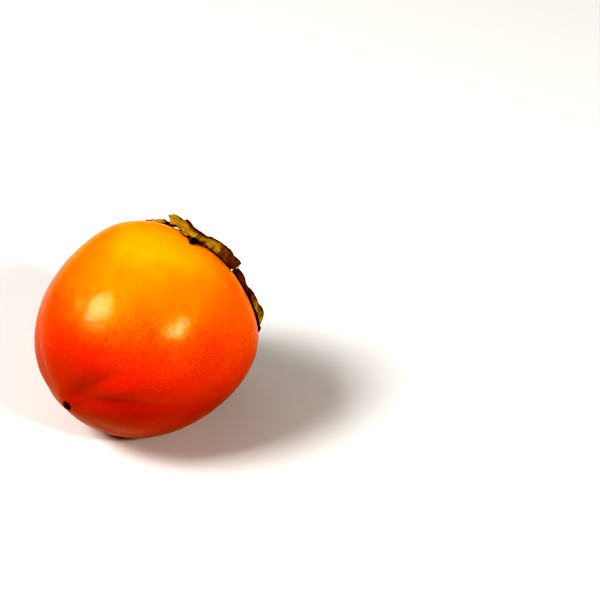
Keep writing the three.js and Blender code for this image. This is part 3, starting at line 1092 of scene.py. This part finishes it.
class PERSIMMON_OT_style(Operator):
    """Makes the withered style at the blossom end"""

    bl_idname = "persimmon.style"
    bl_label = "Style remnant"

    rings = 40
    segments = 64

    def execute(self, context):
        fruit = context.scene.persimmon_fruit
        stalk = context.scene.persimmon_stalk
        tip = skin(fruit, np.zeros((1, 1)), np.zeros((1, 1)))[0, 0, 2]
        along, around = turned(np.linspace(0, 1, self.rings), self.segments)
        cleft = 1 - STYLE_CLEFTS * np.cos(4 * around)
        radius = STYLE_RADIUS * np.sin(math.pi * along**1.3) ** 0.8 * cleft
        level = tip + (along - 1) * STYLE_LENGTH + STYLE_ROOT
        points = round_axis(radius, around, level)
        crumple = rough(points, 0.7 * MM, 4)
        aside, lengthways = (amount * crumple for amount in STYLE_CRUMPLE)
        points[1:-1] += round_axis(aside, around, lengthways)[1:-1]
        mesh = closed_surface("style_remnant_piece", points, {"place": points})
        finished(context, mesh, style_look(stalk), "style_remnant")
        return {"FINISHED"}


# ---- the stage


def view_axes(stage):
    """The camera's right, up and backward directions."""
    turn = Matrix.Rotation(stage.camera_azimuth, 3, "Z")
    turn @= Matrix.Rotation(math.pi / 2 - stage.camera_height, 3, "X")
    return tuple(turn.col)


# The softboxes that light the fruit from the camera's side: their direction along the view's
# right, up and backward axes, their width and height in metres and their power in watts.
SOFTBOXES = (
    ("key", (-0.65, 0.53, 0.54), (0.86, 0.80), 40),
    ("fill", (0.585, 0.11, 0.82), (0.21, 0.27), 22),
)
SOFTBOX_DISTANCE = 2.0
OVERHEAD_DIRECTION = (0.1, 0.25, 1)
OVERHEAD_DISTANCE = 1.6
OVERHEAD_SIZE = (1.4, 1.4)
OVERHEAD_POWER = 2
DOME_DIM = 0.02
DOME_BRIGHT = 0.10
BLACK_LEVEL = (0.008, 0.028, 0.045)  # deepens the fruit's reds and yellows


def softbox(context, name, target, direction, distance, size, power):
    """A rectangular area light that faces the fruit."""
    light = bpy.data.lights.new(name, "AREA")
    light.shape = "RECTANGLE"
    light.size, light.size_y = size
    light.energy = power
    lamp = bpy.data.objects.new(name, light)
    lamp.location = target + direction.normalized() * distance
    lamp.rotation_euler = direction.to_track_quat("Z", "Y").to_euler()
    context.scene.collection.objects.link(lamp)


class PERSIMMON_OT_stage(Operator):
    """Makes the floor, the studio lights and the camera"""

    bl_idname = "persimmon.stage"
    bl_label = "Stage"

    def execute(self, context):
        stage = context.scene.persimmon_stage
        centre = lying(context.scene.persimmon_fruit).translation
        axes = view_axes(stage)
        self.floor(context, stage)
        self.camera(context, stage, centre, axes)
        self.lights(context, centre, axes)
        self.surroundings(context)
        return {"FINISHED"}

    @staticmethod
    def floor(context, stage):
        half = stage.floor_size / 2
        mesh = bpy.data.meshes.new("floor")
        corners = [(-half, -half, 0), (half, -half, 0), (half, half, 0), (-half, half, 0)]
        mesh.from_pydata(corners, [], [(0, 1, 2, 3)])
        mesh.materials.append(floor_look(stage))
        floor = bpy.data.objects.new("floor", mesh)
        context.scene.collection.objects.link(floor)

    @staticmethod
    def camera(context, stage, centre, axes):
        right, up, back = axes
        data = bpy.data.cameras.new("camera")
        data.lens = stage.lens
        data.sensor_width = 36
        data.clip_end = 20
        camera = bpy.data.objects.new("camera", data)
        camera.location = (
            centre + back * stage.camera_distance + right * stage.aside + up * stage.above
        )
        camera.rotation_euler = back.to_track_quat("Z", "Y").to_euler()
        context.scene.collection.objects.link(camera)
        context.scene.camera = camera

    @staticmethod
    def lights(context, centre, axes):
        to_world = Matrix(axes).transposed()
        for name, along_view, size, power in SOFTBOXES:
            direction = to_world @ Vector(along_view)
            softbox(context, name, centre, direction, SOFTBOX_DISTANCE, size, power)
        above = Vector(OVERHEAD_DIRECTION)
        softbox(
            context, "overhead", centre, above, OVERHEAD_DISTANCE, OVERHEAD_SIZE, OVERHEAD_POWER
        )

    @staticmethod
    def surroundings(context):
        """A dome that is bright overhead and dim near the horizon."""
        dome = Look("studio", "worlds")
        toward = dome.add("ShaderNodeTexCoord", None, None, "Generated")
        overhead = toward.dot((0, 0, 1)).step(0.1, 0.95)
        bright = DOME_DIM + (DOME_BRIGHT - DOME_DIM) * overhead
        light = dome.add("ShaderNodeBackground", None, {"Strength": bright})
        dome.add("ShaderNodeOutputWorld", None, {"Surface": light})
        context.scene.world = dome.made
        view = context.scene.view_settings
        view.view_transform = "Standard"
        view.look = "Very High Contrast"
        view.use_curve_mapping = True
        view.curve_mapping.black_level = BLACK_LEVEL


class PERSIMMON_PT_sidebar(Panel):
    """Lists the pieces and their settings"""

    bl_idname = "PERSIMMON_PT_sidebar"
    bl_label = "Persimmon"
    bl_space_type = "VIEW_3D"
    bl_region_type = "UI"
    bl_category = "Persimmon"

    def draw(self, context):
        scene = context.scene
        for step in STEPS:
            self.layout.operator(step.bl_idname)
        for name in SETTINGS:
            group = getattr(scene, name)
            box = self.layout.box()
            for setting in group.bl_rna.properties:
                if setting.identifier not in ("rna_type", "name"):
                    box.prop(group, setting.identifier)


STEPS = (
    PERSIMMON_OT_stage,
    PERSIMMON_OT_fruit,
    PERSIMMON_OT_disc,
    PERSIMMON_OT_sepals,
    PERSIMMON_OT_stalk,
    PERSIMMON_OT_style,
)
SETTINGS = {
    "persimmon_fruit": FruitSettings,
    "persimmon_calyx": CalyxSettings,
    "persimmon_stalk": StalkSettings,
    "persimmon_stage": StageSettings,
}


def register():
    for group in SETTINGS.values():
        bpy.utils.register_class(group)
    for name, group in SETTINGS.items():
        setattr(bpy.types.Scene, name, PointerProperty(type=group))
    for step in STEPS:
        bpy.utils.register_class(step)
    bpy.utils.register_class(PERSIMMON_PT_sidebar)


def unregister():
    bpy.utils.unregister_class(PERSIMMON_PT_sidebar)
    for step in reversed(STEPS):
        bpy.utils.unregister_class(step)
    for name, group in SETTINGS.items():
        delattr(bpy.types.Scene, name)
        bpy.utils.unregister_class(group)


def main():
    register()
    bpy.ops.persimmon.stage()
    bpy.ops.persimmon.fruit()
    bpy.ops.persimmon.disc()
    bpy.ops.persimmon.sepals()
    bpy.ops.persimmon.stalk()
    bpy.ops.persimmon.style()


if __name__ == "__main__":
    main()
